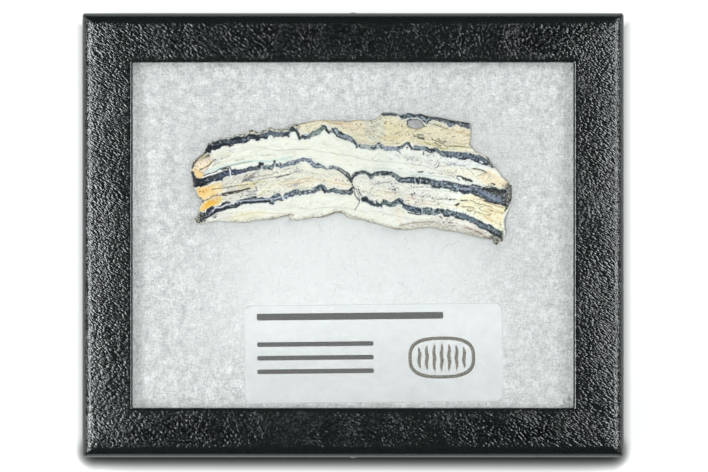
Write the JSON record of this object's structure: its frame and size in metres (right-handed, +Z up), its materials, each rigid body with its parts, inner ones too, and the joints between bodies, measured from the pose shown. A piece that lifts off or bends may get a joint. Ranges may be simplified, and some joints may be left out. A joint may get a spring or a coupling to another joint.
{
  "type": "fossil mammoth molar slice in a glass-topped display case",
  "caption": "Sawn slice of fossil mammoth molar lying on white fibre under glass in a flat black leatherette display case with a window lid.",
  "frame": {"origin": "centre of the case's footprint, on the surface that the tray's base rests on", "axes": "+X along the case's long side, +Y across it towards the specimen's edge of the window, +Z up out of the glass"},
  "size_m": [0.1414, 0.1164, 0.019],
  "materials": {
    "leatherette": "card covered in black leatherette paper, embossed with a wrinkled grain, satin sheen on the grain's crests",
    "glass": "clear, polished",
    "label_film": "frosted translucent label stock, matt, with plain grey printed bars",
    "tray_card": "card covered in smooth black paper, matt",
    "fibre": "white polyester fibre filling, soft and matt",
    "fossil_tooth": "polished sawn face: cream dentine, yellow-tan cementum and folded blue-grey enamel bands",
    "pin_steel": "nickel-plated, bright"
  },
  "bodies": {
    "root": {"lid": "leatherette", "glass_pane": "glass", "label": "label_film", "tray": "tray_card", "fibre_batting": "fibre", "molar_slice": "fossil_tooth", "pin_left": "pin_steel", "pin_right": "pin_steel", "pin_front": "pin_steel", "pin_back": "pin_steel"}
  },
  "joints": []
}
